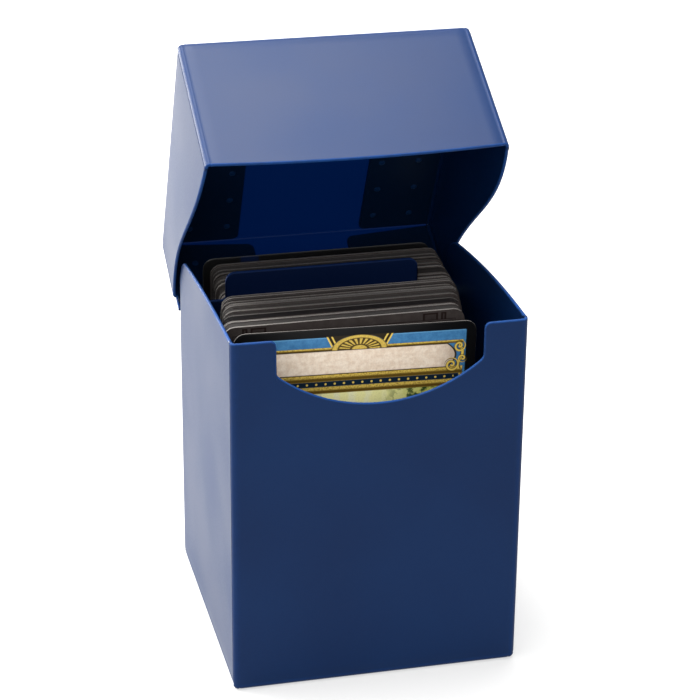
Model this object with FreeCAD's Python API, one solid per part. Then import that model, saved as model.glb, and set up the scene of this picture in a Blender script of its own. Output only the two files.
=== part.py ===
import FreeCAD, Part
import math
import os

from FreeCAD import Vector

# Flip-top card deck box folded from polypropylene sheet, with a divider and a deck of cards.
# Millimetres. +X right, +Y to the rear, +Z up. The origin is the middle of the box's underside.
# The lid is drawn shut, and then turned open about its hinge line to the stored pose.

SHEET = 0.8  # thickness of the plastic sheet
FOLD = 1.5  # outer radius of a folded corner
BEVEL = 1 - math.sqrt(0.5)  # an arc's middle lies this share of its radius from the square corner

# Box
BODY_WIDTH = 75.0
BODY_DEPTH = 75.0
BODY_HEIGHT = 97.2  # top edge of the front panel
SEAM_LAP = 0.2  # the back and the bottom reach this far into the side panels' folds
LIP_START = 82.0  # above this the front is two springy lips, which give way as the lid passes
LIP_REAR = -33.9  # each lip reaches round the corner to here
BOTTOM_EDGE = SHEET + FOLD  # the side panels fold under from this height

# Thumb notch in the front panel
NOTCH_HALF = 26.2
NOTCH_BOTTOM = 78.3
NOTCH_ARC = 41.0  # radius of its curved lower edge
NOTCH_CORNER = 1.5

# Side panels' top edge
SIDE_REAR = BODY_DEPTH / 2 - SHEET - FOLD
SIDE_DROP = 4.4  # the edge falls this much before the rear corner
SIDE_CORNER_RUN = 9.7
SIDE_CORNER_DROP = 11.4
SIDE_SAG = 1.1  # middle of the edge above the straight line between its ends
SIDE_FOLD_TOP = 73.9

# Tabs on the side panels, welded inside the back and the bottom
REAR_TAB_REACH = 12.0
REAR_TAB_ENDS = (3.3, 72.9)
BOTTOM_TAB_REACH = 18.0
BOTTOM_TAB_HALF = 34.0
TAB_CORNER = 3.0

# Weld spots: low discs on the tabs
WELD_RADIUS = 1.1
WELD_HEIGHT = 0.2
REAR_WELD_HEIGHTS = (10.0, 24.0, 38.0, 52.0, 66.0)
BOTTOM_WELD_PLACES = (-26.0, -13.0, 0.0, 13.0, 26.0)

# Hinge
HINGE_Y = BODY_DEPTH / 2
HINGE_Z = 74.4
HINGE_GAP = 0.3  # each panel's edge stands this far from the hinge line
HINGE_RADIUS = 0.28
HINGE_HALF = 36.5

# Lid, shut
LID_OPEN = 63.6  # degrees open in the stored pose
LID_TOP = 99.2
LID_SIDE_GAP = 0.3  # between a cheek and the box's side
LID_FRONT_GAP = 0.4  # between the lid's front and the box's front
LID_SIDE = BODY_WIDTH / 2 + LID_SIDE_GAP + SHEET  # outer face of a cheek
LID_FRONT = -BODY_DEPTH / 2 - LID_FRONT_GAP - SHEET  # outer face of the lid's front
LID_PANEL_HALF = 37.6
LID_EDGE = 55.9  # lower corners of the lid's front
LID_EDGE_SAG = 1.6  # the front's lower edge is this much lower in the middle
CHEEK_REAR_EDGE = 78.5
CHEEK_EASE = 26.4  # length of the level run at each end of the cheek's curved edge
CHEEK_TOP = LID_TOP - SHEET - FOLD
CHEEK_REAR = SIDE_REAR
CHEEK_FOLD_INSET = 0.8  # the top fold stops this far short of the cheek's ends

# Tabs on the cheeks, welded inside the lid's top and back
TOP_TAB_INNER = 17.3
TOP_TAB_ENDS = (-34.0, 35.6)
TOP_TAB_CORNER = 1.6
BACK_TAB_INNER = 13.3
BACK_TAB_BOTTOM = 77.0
BACK_TAB_TOP_OUTER = 97.3
BACK_TAB_TOP_INNER = 95.6
BACK_TAB_CORNER = 2.0
TOP_WELD_COLUMNS = (20.8, 31.2)
TOP_WELD_FIRST = 30.3
TOP_WELD_PITCH = 10.5
TOP_WELD_ROWS = 6
BACK_WELD_COLUMNS = (18.5, 30.5)
BACK_WELD_HEIGHTS = (81.5, 90.0)

# Divider
DIVIDER_MIDDLE_X = -4.5
DIVIDER_WIDTH = 64.0
DIVIDER_FRONT = 7.6
DIVIDER_SHOULDER = 89.7
DIVIDER_TOP = 97.1
DIVIDER_TAB_WIDTH = 51.2
DIVIDER_TAB_CORNER = 2.5
DIVIDER_TAB_FILLET = 1.0
DIVIDER_CORNER = 3.0

# Cards: a standard playing card, and bundles of them
CARD_WIDTH = 63.0
CARD_HEIGHT = 88.0
CARD_CORNER = 3.0
CARD_THICK = 0.3
CARD_BASE = 2 * SHEET + WELD_HEIGHT  # the cards stand on the bottom tabs and their weld spots
CARD_GAP = 0.1
FRONT_CARD_X = -2.8
FRONT_CARD_Y = -18.8
FRONT_CARD_RISE = 0.8
FRONT_BUNDLE_START = -12.6
FRONT_BUNDLE_MIDDLES = (-3.1, -2.9, -2.5, -1.9, -1.3, -0.8, -0.4, 0.0)
FRONT_BUNDLE_RISES = (0.5, 0.3, 0.6, 0.0, 0.3, 0.5, 0.1, 0.4)
REAR_BUNDLE_START = DIVIDER_FRONT + SHEET + CARD_GAP
REAR_BUNDLE_END = 30.6
REAR_BUNDLE_MIDDLES = (0.2, 0.4, 0.6, 1.0, 1.4)
REAR_BUNDLE_RISES = (0.2, 0.6, 0.0, 0.3, 0.1)
REAR_CARD_X = 0.3
REAR_CARD_Y = 34.9
REAR_CARD_RISE = 0.35


def box(x, y, z):
    """A block between two values on each axis."""
    return Part.makeBox(x[1] - x[0], y[1] - y[0], z[1] - z[0], Vector(x[0], y[0], z[0]))


def level(z):
    """Turns (x, y) into a point at height z."""
    return lambda x, y: Vector(x, y, z)


def facing_x(x):
    """Turns (y, z) into a point at x."""
    return lambda y, z: Vector(x, y, z)


def facing_y(y):
    """Turns (x, z) into a point at y."""
    return lambda x, z: Vector(x, y, z)


def edges_of(path, place):
    """Edges along a path of points. A point that is a pair of points is an arc's middle and end."""
    edges = []
    last = path[0]
    for point in path[1:]:
        curved = isinstance(point[0], tuple)
        end = point[1] if curved else point
        if curved:
            edges.append(Part.Arc(place(*last), place(*point[0]), place(*end)).toShape())
        elif math.dist(last, end) > 1e-6:
            edges.append(Part.LineSegment(place(*last), place(*end)).toShape())
        last = end
    return edges


def prism(path, place, along):
    """A closed outline carried along a vector."""
    return Part.Face(Part.Wire(edges_of(path + [path[0]], place))).extrude(along)


def round_corner(corner, arrive, leave, radius):
    """A square corner rounded: the tangent point, then the arc's middle and end."""
    start = (corner[0] - radius * arrive[0], corner[1] - radius * arrive[1])
    end = (corner[0] + radius * leave[0], corner[1] + radius * leave[1])
    reach = radius * BEVEL
    middle = (
        corner[0] - reach * arrive[0] + reach * leave[0],
        corner[1] - reach * arrive[1] + reach * leave[1],
    )
    return [start, (middle, end)]


def quarter_fold(corner, first, last):
    """The section of one folded corner: its sharp corner, and the ways to its first and last edge."""
    centre = (
        corner[0] + FOLD * (first[0] + last[0]),
        corner[1] + FOLD * (first[1] + last[1]),
    )
    slant = 1 - BEVEL

    def on_ring(radius, a, b):
        return (
            centre[0] - radius * (a * last[0] + b * first[0]),
            centre[1] - radius * (a * last[1] + b * first[1]),
        )

    inner = FOLD - SHEET
    return [
        on_ring(FOLD, 1, 0),
        (on_ring(FOLD, slant, slant), on_ring(FOLD, 0, 1)),
        on_ring(inner, 0, 1),
        (on_ring(inner, slant, slant), on_ring(inner, 1, 0)),
    ]


def mirrored(shape):
    """The same shape on the other side of the middle."""
    return shape.mirror(Vector(0, 0, 0), Vector(1, 0, 0))


def joined(first, *others):
    """One solid from touching pieces of one sheet."""
    return first.fuse(list(others)).removeSplitter()


def opened(shape):
    """Turns a piece of the shut lid to the stored pose."""
    turned = shape.copy()
    turned.rotate(Vector(0, HINGE_Y, HINGE_Z), Vector(-1, 0, 0), LID_OPEN)
    return turned


def across(half):
    """From a panel's left edge to its right edge."""
    return Vector(2 * half, 0, 0)


def tray_section(half, front):
    """A front panel's section seen from above, with a fold to the rear at each side."""
    left = quarter_fold((-half, front), (0, 1), (1, 0))
    right = quarter_fold((half, front), (-1, 0), (0, 1))
    return left[:2] + right + left[2:]


def notch():
    """The thumb notch, as a cutter: an arc below, straight sides, and brows rounded outwards."""
    rise = NOTCH_BOTTOM + NOTCH_ARC - math.sqrt(NOTCH_ARC**2 - NOTCH_HALF**2)
    brow = BODY_HEIGHT - NOTCH_CORNER
    wide = NOTCH_HALF + NOTCH_CORNER
    ease = NOTCH_CORNER * BEVEL
    above = BODY_HEIGHT + FOLD
    outline = [
        (-wide, above),
        (-wide, BODY_HEIGHT),
        ((-NOTCH_HALF - ease, BODY_HEIGHT - ease), (-NOTCH_HALF, brow)),
        (-NOTCH_HALF, rise),
        ((0, NOTCH_BOTTOM), (NOTCH_HALF, rise)),
        (NOTCH_HALF, brow),
        ((NOTCH_HALF + ease, BODY_HEIGHT - ease), (wide, BODY_HEIGHT)),
        (wide, above),
    ]
    return prism(outline, facing_y(-BODY_DEPTH / 2 - FOLD), Vector(0, 3 * FOLD, 0))


def front_panel():
    """The front below the lips, with a fold at each side and one to the bottom."""
    half = BODY_WIDTH / 2
    front = -BODY_DEPTH / 2
    wall = prism(tray_section(half, front), level(FOLD), Vector(0, 0, LIP_START - FOLD))
    under = quarter_fold((front, 0), (0, 1), (1, 0))
    bottom_fold = prism(under, facing_x(-half + FOLD), across(half - FOLD))
    return joined(wall, bottom_fold).cut(notch())


def front_lip():
    """The right lip: the front beside the notch, and a short way round the corner."""
    half = BODY_WIDTH / 2
    front = -BODY_DEPTH / 2
    fold = quarter_fold((half, front), (-1, 0), (0, 1))
    inner = NOTCH_HALF / 2
    outline = [(inner, front)] + fold[:2] + [(half, LIP_REAR), (half - SHEET, LIP_REAR)]
    outline += fold[2:] + [(inner, front + SHEET)]
    return prism(outline, level(LIP_START), Vector(0, 0, BODY_HEIGHT - LIP_START)).cut(notch())


def side_panel():
    """The right side: a flat wall, folded in at its rear edge and at its bottom edge."""
    outer = BODY_WIDTH / 2
    front = -BODY_DEPTH / 2 + FOLD
    corner_start = SIDE_REAR - SIDE_CORNER_RUN
    corner_z = BODY_HEIGHT - SIDE_DROP
    corner_end = corner_z - SIDE_CORNER_DROP
    edge_middle = ((LIP_REAR + corner_start) / 2, BODY_HEIGHT - SIDE_DROP / 2 + SIDE_SAG)
    outline = [
        (front, BOTTOM_EDGE),
        (front, LIP_START),
        (LIP_REAR, LIP_START),
        (LIP_REAR, BODY_HEIGHT),
        (edge_middle, (corner_start, corner_z)),
        (
            (SIDE_REAR - BEVEL * SIDE_CORNER_RUN, corner_z - BEVEL * SIDE_CORNER_DROP),
            (SIDE_REAR, corner_end),
        ),
        (SIDE_REAR, BOTTOM_EDGE),
    ]
    wall = prism(outline, facing_x(outer - SHEET), Vector(SHEET, 0, 0))
    rear = quarter_fold((outer, SIDE_REAR + FOLD), (0, -1), (-1, 0))
    rear_fold = prism(rear, level(BOTTOM_EDGE), Vector(0, 0, SIDE_FOLD_TOP - BOTTOM_EDGE))
    under = quarter_fold((outer, SHEET), (0, 1), (-1, 0))
    bottom_fold = prism(under, facing_y(front), Vector(0, SIDE_REAR - front, 0))
    return joined(wall, rear_fold, bottom_fold)


def back_panel():
    rear = BODY_DEPTH / 2
    half = BODY_WIDTH / 2 - SHEET + SEAM_LAP
    wall = box((-half, half), (rear - SHEET, rear), (FOLD, HINGE_Z - HINGE_GAP))
    under = quarter_fold((rear, 0), (0, 1), (-1, 0))
    flap_half = BODY_WIDTH / 2 - FOLD
    return joined(wall, prism(under, facing_x(-flap_half), across(flap_half)))


def bottom_panel():
    half = BODY_WIDTH / 2 - SHEET + SEAM_LAP
    reach = BODY_DEPTH / 2 - FOLD
    return box((-half, half), (-reach, reach), (0, SHEET))


def tab_outline(root, tip, low, high, corner):
    """A tab seen flat, from its fold at root to its tip, with the two tip corners cut off."""
    step = math.copysign(corner, tip - root)
    return [
        (root, low),
        (tip - step, low),
        (tip, low + corner),
        (tip, high - corner),
        (tip - step, high),
        (root, high),
    ]


def rear_tab():
    root = BODY_WIDTH / 2 - FOLD
    outline = tab_outline(root, root - REAR_TAB_REACH, *REAR_TAB_ENDS, TAB_CORNER)
    return prism(outline, facing_y(SIDE_REAR + FOLD - SHEET), Vector(0, SHEET, 0))


def bottom_tab():
    root = BODY_WIDTH / 2 - FOLD
    reach = BOTTOM_TAB_HALF
    outline = tab_outline(root, root - BOTTOM_TAB_REACH, -reach, reach, TAB_CORNER)
    return prism(outline, level(SHEET), Vector(0, 0, SHEET))


def discs(places, way):
    """Weld spots at some places, standing WELD_HEIGHT out along a direction."""
    return Part.makeCompound([Part.makeCylinder(WELD_RADIUS, WELD_HEIGHT, p, way) for p in places])


def rear_weld_spots():
    x = BODY_WIDTH / 2 - FOLD - REAR_TAB_REACH / 2
    y = SIDE_REAR + FOLD - SHEET
    places = [Vector(s * x, y, z) for s in (-1, 1) for z in REAR_WELD_HEIGHTS]
    return discs(places, Vector(0, -1, 0))


def bottom_weld_spots():
    x = BODY_WIDTH / 2 - FOLD - BOTTOM_TAB_REACH / 2
    places = [Vector(s * x, y, 2 * SHEET) for s in (-1, 1) for y in BOTTOM_WELD_PLACES]
    return discs(places, Vector(0, 0, 1))


def living_hinge():
    start = Vector(-HINGE_HALF, HINGE_Y, HINGE_Z)
    return Part.makeCylinder(HINGE_RADIUS, 2 * HINGE_HALF, start, Vector(1, 0, 0))


def lid_back_panel():
    low = HINGE_Z + HINGE_GAP
    half = LID_PANEL_HALF
    wall = box((-half, half), (HINGE_Y - SHEET, HINGE_Y), (low, LID_TOP - FOLD))
    fold = quarter_fold((HINGE_Y, LID_TOP), (0, -1), (-1, 0))
    return joined(wall, prism(fold, facing_x(-half), across(half)))


def lid_top_panel():
    half = LID_PANEL_HALF
    return box((-half, half), (LID_FRONT + FOLD, HINGE_Y - FOLD), (LID_TOP - SHEET, LID_TOP))


def lid_front_panel():
    low = LID_EDGE - LID_EDGE_SAG
    start = low - 1
    section = tray_section(LID_SIDE, LID_FRONT)
    wall = prism(section, level(start), Vector(0, 0, CHEEK_TOP - start))
    flat_half = LID_SIDE - FOLD
    brow = box((-flat_half, flat_half), (LID_FRONT, LID_FRONT + SHEET), (CHEEK_TOP, LID_TOP - FOLD))
    fold = quarter_fold((LID_FRONT, LID_TOP), (0, -1), (1, 0))
    top_fold = prism(fold, facing_x(-flat_half), across(flat_half))
    panel = joined(wall, brow, top_fold)
    below = [
        (-LID_SIDE - 1, start - 1),
        (-LID_SIDE - 1, LID_EDGE),
        (-LID_SIDE, LID_EDGE),
        ((0, low), (LID_SIDE, LID_EDGE)),
        (LID_SIDE + 1, LID_EDGE),
        (LID_SIDE + 1, start - 1),
    ]
    return panel.cut(prism(below, facing_y(LID_FRONT - 1), Vector(0, 2 * FOLD + 1, 0)))


def lid_cheek():
    """The right cheek: its lower edge sweeps up to the hinge, and it folds in at its top and rear."""
    front = LID_FRONT + FOLD
    place = facing_x(LID_SIDE - SHEET)
    sweep = Part.BezierCurve()
    sweep.setPoles(
        [
            place(front, LID_EDGE),
            place(front + CHEEK_EASE, LID_EDGE),
            place(CHEEK_REAR - CHEEK_EASE, CHEEK_REAR_EDGE),
            place(CHEEK_REAR, CHEEK_REAR_EDGE),
        ]
    )
    rest = edges_of(
        [
            (CHEEK_REAR, CHEEK_REAR_EDGE),
            (CHEEK_REAR, CHEEK_TOP),
            (front, CHEEK_TOP),
            (front, LID_EDGE),
        ],
        place,
    )
    wall = Part.Face(Part.Wire([sweep.toShape()] + rest)).extrude(Vector(SHEET, 0, 0))
    top = quarter_fold((LID_SIDE, CHEEK_TOP + FOLD), (0, -1), (-1, 0))
    low_y = front + CHEEK_FOLD_INSET
    top_fold = prism(top, facing_y(low_y), Vector(0, CHEEK_REAR - CHEEK_FOLD_INSET - low_y, 0))
    rear = quarter_fold((LID_SIDE, CHEEK_REAR + FOLD), (0, -1), (-1, 0))
    rear_fold = prism(rear, level(CHEEK_REAR_EDGE), Vector(0, 0, CHEEK_TOP - CHEEK_REAR_EDGE))
    return joined(wall, top_fold, rear_fold)


def lid_top_tab():
    front, rear = TOP_TAB_ENDS
    root = LID_SIDE - FOLD
    outline = [(root, front)]
    outline += round_corner((TOP_TAB_INNER, front), (-1, 0), (0, 1), TOP_TAB_CORNER)
    outline += round_corner((TOP_TAB_INNER, rear), (0, 1), (1, 0), TOP_TAB_CORNER)
    outline.append((root, rear))
    return prism(outline, level(LID_TOP - 2 * SHEET), Vector(0, 0, SHEET))


def lid_back_tab():
    root = LID_SIDE - FOLD
    outline = [(root, BACK_TAB_BOTTOM)]
    outline += round_corner((BACK_TAB_INNER, BACK_TAB_BOTTOM), (-1, 0), (0, 1), BACK_TAB_CORNER)
    outline += round_corner((BACK_TAB_INNER, BACK_TAB_TOP_INNER), (0, 1), (1, 0), BACK_TAB_CORNER)
    outline.append((root, BACK_TAB_TOP_OUTER))
    return prism(outline, facing_y(HINGE_Y - 2 * SHEET), Vector(0, SHEET, 0))


def lid_top_weld_spots():
    z = LID_TOP - 2 * SHEET
    rows = [TOP_WELD_FIRST - TOP_WELD_PITCH * n for n in range(TOP_WELD_ROWS)]
    places = [Vector(s * x, y, z) for s in (-1, 1) for x in TOP_WELD_COLUMNS for y in rows]
    return discs(places, Vector(0, 0, -1))


def lid_back_weld_spots():
    y = HINGE_Y - 2 * SHEET
    places = [
        Vector(s * x, y, z) for s in (-1, 1) for x in BACK_WELD_COLUMNS for z in BACK_WELD_HEIGHTS
    ]
    return discs(places, Vector(0, -1, 0))


def divider():
    """A sheet as wide as a card, with a broad raised tab between two shoulders."""
    left = DIVIDER_MIDDLE_X - DIVIDER_WIDTH / 2
    right = DIVIDER_MIDDLE_X + DIVIDER_WIDTH / 2
    tab_left = DIVIDER_MIDDLE_X - DIVIDER_TAB_WIDTH / 2
    tab_right = DIVIDER_MIDDLE_X + DIVIDER_TAB_WIDTH / 2
    up, down, ahead, back = (0, 1), (0, -1), (1, 0), (-1, 0)
    outline = round_corner((left, CARD_BASE), back, up, DIVIDER_CORNER)
    outline += round_corner((left, DIVIDER_SHOULDER), up, ahead, DIVIDER_CORNER)
    outline += round_corner((tab_left, DIVIDER_SHOULDER), ahead, up, DIVIDER_TAB_FILLET)
    outline += round_corner((tab_left, DIVIDER_TOP), up, ahead, DIVIDER_TAB_CORNER)
    outline += round_corner((tab_right, DIVIDER_TOP), ahead, down, DIVIDER_TAB_CORNER)
    outline += round_corner((tab_right, DIVIDER_SHOULDER), down, ahead, DIVIDER_TAB_FILLET)
    outline += round_corner((right, DIVIDER_SHOULDER), ahead, down, DIVIDER_CORNER)
    outline += round_corner((right, CARD_BASE), down, back, DIVIDER_CORNER)
    return prism(outline, facing_y(DIVIDER_FRONT), Vector(0, SHEET, 0))


def cards(middle_x, front_y, thickness, rise):
    """A card, or a bundle of them: a rectangle with round corners, rise above the box's floor."""
    left = middle_x - CARD_WIDTH / 2
    right = middle_x + CARD_WIDTH / 2
    low = CARD_BASE + rise
    high = low + CARD_HEIGHT
    outline = round_corner((left, low), (-1, 0), (0, 1), CARD_CORNER)
    outline += round_corner((left, high), (0, 1), (1, 0), CARD_CORNER)
    outline += round_corner((right, high), (1, 0), (0, -1), CARD_CORNER)
    outline += round_corner((right, low), (0, -1), (-1, 0), CARD_CORNER)
    return prism(outline, facing_y(front_y), Vector(0, thickness, 0))


def bundles(name, start, end, middles, rises):
    """Bundles of cards side by side, from start to end."""
    pitch = (end - start) / len(middles)
    made = {}
    for n, (middle_x, rise) in enumerate(zip(middles, rises)):
        front = start + n * pitch
        made[f"{name}_{n + 1}"] = cards(middle_x, front, pitch - CARD_GAP, rise)
    return made


def both_sides(name, shape):
    return {f"left_{name}": mirrored(shape), f"right_{name}": shape}


def box_nodes():
    nodes = {
        "front_panel": front_panel(),
        "back_panel": back_panel(),
        "bottom_panel": bottom_panel(),
        "rear_weld_spots": rear_weld_spots(),
        "bottom_weld_spots": bottom_weld_spots(),
        "living_hinge": living_hinge(),
    }
    nodes.update(both_sides("front_lip", front_lip()))
    nodes.update(both_sides("side_panel", side_panel()))
    nodes.update(both_sides("rear_tab", rear_tab()))
    nodes.update(both_sides("bottom_tab", bottom_tab()))
    return nodes


def lid_nodes():
    nodes = {
        "lid_back_panel": lid_back_panel(),
        "lid_top_panel": lid_top_panel(),
        "lid_front_panel": lid_front_panel(),
        "lid_top_weld_spots": lid_top_weld_spots(),
        "lid_back_weld_spots": lid_back_weld_spots(),
    }
    nodes.update(both_sides("lid_cheek", lid_cheek()))
    nodes.update(both_sides("lid_top_tab", lid_top_tab()))
    nodes.update(both_sides("lid_back_tab", lid_back_tab()))
    return {name: opened(shape) for name, shape in nodes.items()}


def deck_nodes():
    nodes = {
        "divider": divider(),
        "front_card": cards(FRONT_CARD_X, FRONT_CARD_Y, CARD_THICK, FRONT_CARD_RISE),
        "rear_card": cards(REAR_CARD_X, REAR_CARD_Y, CARD_THICK, REAR_CARD_RISE),
    }
    nodes.update(
        bundles(
            "front_cards",
            FRONT_BUNDLE_START,
            DIVIDER_FRONT,
            FRONT_BUNDLE_MIDDLES,
            FRONT_BUNDLE_RISES,
        )
    )
    nodes.update(
        bundles(
            "rear_cards",
            REAR_BUNDLE_START,
            REAR_BUNDLE_END,
            REAR_BUNDLE_MIDDLES,
            REAR_BUNDLE_RISES,
        )
    )
    return nodes


def main():
    os.makedirs("parts", exist_ok=True)
    for nodes in (box_nodes(), lid_nodes(), deck_nodes()):
        for name, shape in nodes.items():
            shape.exportStep(os.path.join("parts", name + ".step"))


main()
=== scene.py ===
import math

import bpy
import numpy as np
from mathutils import Matrix, Vector


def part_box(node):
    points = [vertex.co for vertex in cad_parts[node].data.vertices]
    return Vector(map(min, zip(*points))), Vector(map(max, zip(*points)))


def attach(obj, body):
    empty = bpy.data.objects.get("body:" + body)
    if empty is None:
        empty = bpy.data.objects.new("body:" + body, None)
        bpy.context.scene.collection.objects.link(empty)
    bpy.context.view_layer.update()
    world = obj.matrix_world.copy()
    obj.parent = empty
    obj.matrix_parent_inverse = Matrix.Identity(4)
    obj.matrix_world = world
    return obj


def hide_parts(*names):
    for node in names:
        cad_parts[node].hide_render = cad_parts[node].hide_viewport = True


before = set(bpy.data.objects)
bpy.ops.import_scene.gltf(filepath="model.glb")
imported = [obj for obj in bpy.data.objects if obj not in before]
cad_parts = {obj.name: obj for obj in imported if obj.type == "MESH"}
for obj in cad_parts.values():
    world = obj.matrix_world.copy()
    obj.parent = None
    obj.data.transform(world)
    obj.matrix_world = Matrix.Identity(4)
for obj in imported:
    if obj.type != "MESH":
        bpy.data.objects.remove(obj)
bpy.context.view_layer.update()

# Flip-top card deck box of folded polypropylene sheet, with a divider and a deck of cards.
# Lengths below are in millimetres and become metres when a mesh is made.
MM = 0.001
SHEET = 0.8
FOLD = 1.5
ARC = FOLD * math.pi / 2
RIM_STEPS = 5
RIM_ROUND = 0.26
SCORE_DEPTH = 0.11
SCORE_WIDTH = 0.2
FAR = 999.0  # a fold limit that no panel reaches

X, Y, Z = np.eye(3)

# Box
HALF = 37.5
FRONT_TOP = 97.2
NOTCH_HALF = 26.2
NOTCH_BOTTOM = 78.3
NOTCH_ARC = 41.0
NOTCH_CORNER = 1.5
SIDE_FRONT = -36.0
SIDE_REAR = 35.2
SIDE_LOW = 2.3
SIDE_FOLD_TOP = 73.9
SIDE_TOP_MIDDLE = (-5.2, 96.15)
SIDE_CORNER = (25.5, 92.8)
SIDE_CORNER_MIDDLE = (32.36, 89.46)
SIDE_CORNER_LOW = 81.4
BACK_WIDTH = (-36.9, 36.9)
BACK_TOP = 74.1
FRONT_BOW = 0.28
SIDE_BOW = 0.2

# Lid, drawn shut and then turned open about its hinge line
HINGE_Y = 37.5
HINGE_Z = 74.4
LID_OPEN = math.radians(63.6)
LID_SIDE = 38.6
LID_FRONT = 38.7
LID_TOP = 99.2
LID_EDGE = 55.9
LID_EDGE_MIDDLE = 54.3
LID_WIDTH = (-37.6, 37.6)
LID_PANEL_FRONT = -37.2
LID_BACK_LOW = 74.7
LID_BOW = 0.25
CHEEK_TOP = 96.9
CHEEK_REAR_EDGE = 78.5
CHEEK_EASE = 26.4
CHEEK_BOW = 1.5

# Cards
CARD_HALF = 31.5
CARD_HEIGHT = 88.0
CARD_CORNER = 3.0
CARD_BASE = 1.8
CARD_THICK = 0.3
CARD_STEPS = 26
CARD_EDGE_TONE = 0.45
FRONT_CARD_LEAN = math.radians(1.5)

# Thin cards in a bundle: the steps and limit of their random walks, how much their edge tones
# vary, which tones count as pale and how much higher pale cards stand, and a card's share of the
# pitch
SIDE_STEP = 0.06
RISE_STEP = 0.03
STRAY_LIMIT = 0.3
TONE_SPREAD = 0.16
PALE_TONE = 0.4
PALE_RISE = 0.22
CARD_SHARE = 0.86

# Divider
DIVIDER_FRONT = 7.6
DIVIDER_MIDDLE = -4.5
DIVIDER_HALF = 32.0
DIVIDER_TAB = 25.6
DIVIDER_SHOULDER = 89.7
DIVIDER_TOP = 97.1
DIVIDER_CORNER = 3.0

# Spot welds, each on the inner face of a tab that lies on its panel
WELD_RADIUS = 0.9
WELD_RISE = 0.2
TWO_SHEETS = 2 * SHEET


# ---------- lines and grids


def arc_through(start, middle, end, count):
    """Points on the circle through three points: the centre is where the chords' middle lines
    meet, and the angle runs evenly from the first point past the second to the third."""
    a, b, c = (np.array(p, float) for p in (start, middle, end))
    ab, ac = b - a, c - a
    cross = 2 * (ab[0] * ac[1] - ab[1] * ac[0])
    centre = a + np.array(
        [
            (ac[1] * (ab @ ab) - ab[1] * (ac @ ac)) / cross,
            (ab[0] * (ac @ ac) - ac[0] * (ab @ ab)) / cross,
        ]
    )
    angles = np.unwrap([math.atan2(*(p - centre)[::-1]) for p in (a, b, c)])
    turn = np.linspace(angles[0], angles[2], count)
    return centre + np.linalg.norm(a - centre) * np.stack([np.cos(turn), np.sin(turn)], -1)


def straight(start, end, count):
    """Evenly spaced points on a straight line."""
    return np.linspace(np.array(start, float), np.array(end, float), count)


def bezier(start, first, second, end, count):
    """A cubic curve: the four points weighted by (1-t)^3, 3t(1-t)^2, 3t^2(1-t) and t^3."""
    t = np.linspace(0, 1, count)[:, None]
    points = [np.array(p, float) for p in (start, first, second, end)]
    weights = [(1 - t) ** 3, 3 * t * (1 - t) ** 2, 3 * t**2 * (1 - t), t**3]
    return sum(w * p for w, p in zip(weights, points))


def chain(*runs):
    """Runs of points one after another, each dropping its first point if it repeats the last."""
    line = runs[0]
    for run in runs[1:]:
        start = 1 if np.allclose(line[-1], run[0]) else 0
        line = np.concatenate([line, run[start:]])
    return line


def run_length(line):
    """Distance along a line from its first point to each of its points."""
    return np.concatenate([[0], np.cumsum(np.linalg.norm(np.diff(line, axis=0), axis=1))])


def near_ends(low, high, count, step=0.55):
    """Values from low to high, evenly spread but with one extra value close to each end."""
    inner = np.linspace(low + step, high - step, count)
    return np.concatenate([[low], inner, [high]])


def fold_steps(start):
    """Pattern distances across one folded corner, close together at the two score lines."""
    near = np.array([0, 0.16, 0.34, 0.6, 0.9])
    return start + np.concatenate([near, [ARC / 2], ARC - near[::-1]])


def carried_on(line, levels):
    """A flat pattern whose columns go straight on from a line, through the given heights."""
    strip = np.repeat(line[:, None], len(levels), 1)
    strip[..., 1] = levels
    return strip


def between(low_line, high_line, levels):
    """A flat pattern between two lines of as many points: each column runs straight from the low
    line to the high one, through the given shares of the way."""
    share = np.asarray(levels)[None, :, None]
    return low_line[:, None] * (1 - share) + high_line[:, None] * share


# ---------- sheet surfaces


def groove(distance):
    """A shallow round-bottomed line: a bell curve of the distance across it."""
    return np.exp(-((distance / SCORE_WIDTH) ** 2))


def folded(pattern, along, up, face, q_flat, h_flat, bow=0.0, free=None):
    """Outer points, outward normals and crease strength of a panel with rounded folds.

    The pattern holds q along the panel and h up it. Within q_flat and h_flat the sheet lies flat,
    face from the middle along its outward direction, which is along x up. Past a limit it runs
    round an arc of radius FOLD, turning by the distance past the limit over FOLD, so that two
    folds meet in a quarter ball. The flat part is bowed by (1 - a^2)(1 - b^2), with a from -1 to 1
    over its width, and b from -1 to 1 over its height, or from 0 at an edge that is free.
    Shallow score lines run along both sides of each fold."""
    out = np.cross(along, up)
    q, h = pattern[..., 0], pattern[..., 1]
    q_in, h_in = np.clip(q, *q_flat), np.clip(h, *h_flat)
    turn_q, turn_h = (q - q_in) / FOLD, (h - h_in) / FOLD
    plan = np.cos(turn_q)[..., None] * out + np.sin(turn_q)[..., None] * along
    normal = np.cos(turn_h)[..., None] * plan + np.sin(turn_h)[..., None] * up
    first, last = max(q_flat[0], q.min()), min(q_flat[1], q.max())
    low, high = max(h_flat[0], h.min()), min(h_flat[1], h.max())
    a = 2 * (q_in - first) / (last - first) - 1
    share = (h_in - low) / (high - low)
    b = {None: 2 * share - 1, "high": share - 1, "low": share}[free]
    lift = bow * (1 - a**2) * (1 - b**2)
    scores = np.zeros_like(q)
    crease = np.zeros_like(q)
    for value, limits in ((q, q_flat), (h, h_flat)):
        for limit, sign in zip(limits, (-1, 1)):
            past = sign * (value - limit)
            scores += groove(past) + groove(past - ARC)
            crease = np.maximum(crease, np.clip((past + 0.5) / 0.7, 0, 1))
    radius = FOLD + lift - SCORE_DEPTH * scores
    centre = q_in[..., None] * along + h_in[..., None] * up + (face - FOLD) * out
    return centre + radius[..., None] * normal, normal, crease


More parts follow.
